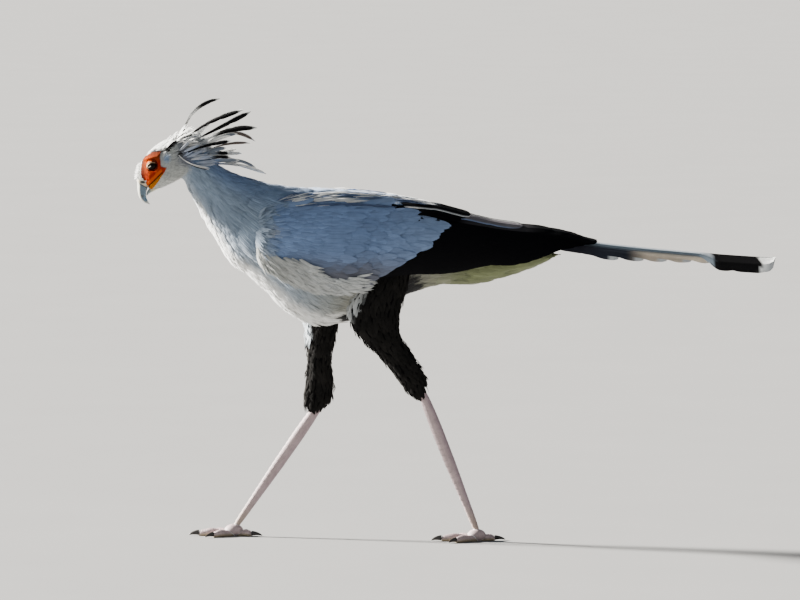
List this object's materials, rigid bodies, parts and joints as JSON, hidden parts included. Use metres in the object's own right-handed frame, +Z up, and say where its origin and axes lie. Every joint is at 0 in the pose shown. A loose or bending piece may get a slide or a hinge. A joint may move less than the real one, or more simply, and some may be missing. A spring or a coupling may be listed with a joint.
{
  "type": "secretary bird",
  "caption": "Life-size still model of a secretary bird in mid stride, with its head bowed, its crest raised and its wings folded, standing on its own feet.",
  "frame": {"origin": "on the floor, below the centre of the whole bird's box", "axes": "+X towards the tail, the bird faces -X, +Y towards its right side, +Z up"},
  "size_m": [1.24, 0.2132, 0.8636],
  "materials": {
    "bill": "horn, pale blue grey, darker at the hook, with a cream cere",
    "face": "bare wrinkled orange red skin, with white and grey feathers behind it",
    "eye": "wet and dark brown",
    "crest": "black and white plumes",
    "plumage": "soft pale blue grey feathers, whitish below",
    "wing": "blue grey coverts over black flight feathers",
    "tail": "grey with a black band and white tips",
    "black_plumage": "soft black feathers",
    "leg": "pinkish grey scutes",
    "claw": "dark horn"
  },
  "bodies": {
    "root": {"bill_upper": "bill", "bill_lower": "bill", "head": "face", "eye_left": "eye", "eye_right": "eye", "nape_crest": "crest", "neck": "plumage", "torso": "plumage", "rump": "plumage", "tail": "tail", "wing_left": "wing", "wing_right": "wing", "thigh_left": "black_plumage", "thigh_right": "black_plumage", "tarsus_left": "leg", "tarsus_right": "leg", "foot_left": "leg", "foot_right": "leg", "claw_left_inner": "claw", "claw_left_middle": "claw", "claw_left_outer": "claw", "claw_left_hind": "claw", "claw_right_inner": "claw", "claw_right_middle": "claw", "claw_right_outer": "claw", "claw_right_hind": "claw"}
  },
  "joints": []
}
